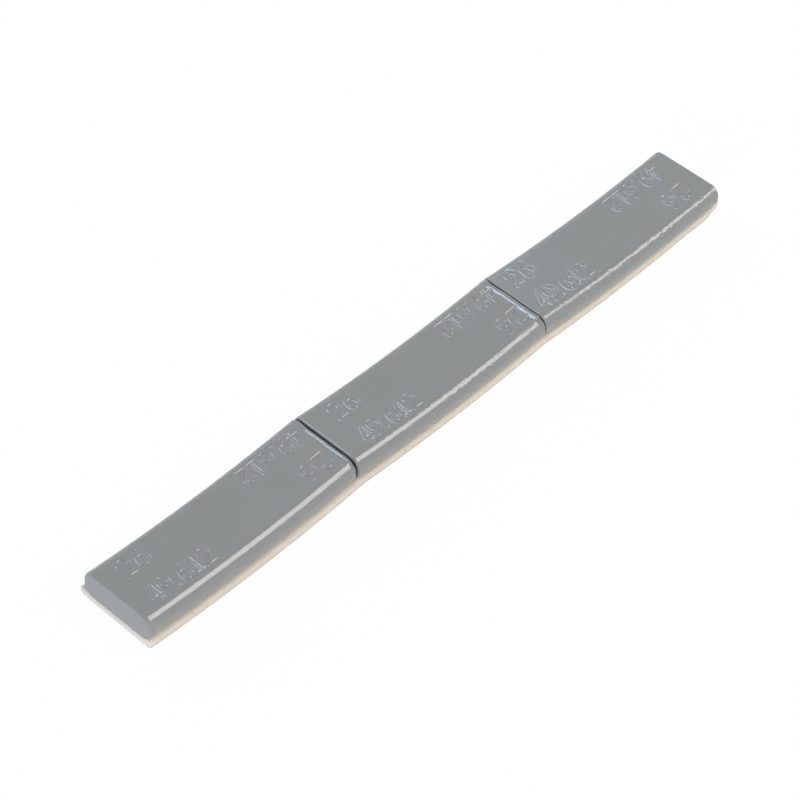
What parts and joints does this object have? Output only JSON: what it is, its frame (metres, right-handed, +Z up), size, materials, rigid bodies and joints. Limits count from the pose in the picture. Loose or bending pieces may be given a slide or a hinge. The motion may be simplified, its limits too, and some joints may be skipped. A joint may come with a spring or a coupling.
{
  "type": "adhesive wheel balance weight",
  "caption": "Stick-on wheel balance weight: grey coated steel bar segments, bent to the curve of a rim, side by side on one foam tape with a peel-off liner.",
  "frame": {"origin": "on the surface the strip lies on, below the middle of its outline", "axes": "+X along the strip from its near end to its far end, +Y across it, +Z up from the adhesive side to the stamped side"},
  "size_m": [0.1718, 0.02, 0.0089],
  "materials": {
    "coated_steel": "satin grey coating, stamped numerals",
    "foam": "matte off-white closed-cell foam",
    "liner": "thin matte release paper, soiled at its edge"
  },
  "bodies": {
    "root": {"front_segment": "coated_steel", "middle_segment": "coated_steel", "rear_segment": "coated_steel", "foam_tape": "foam", "release_liner": "liner"}
  },
  "joints": []
}
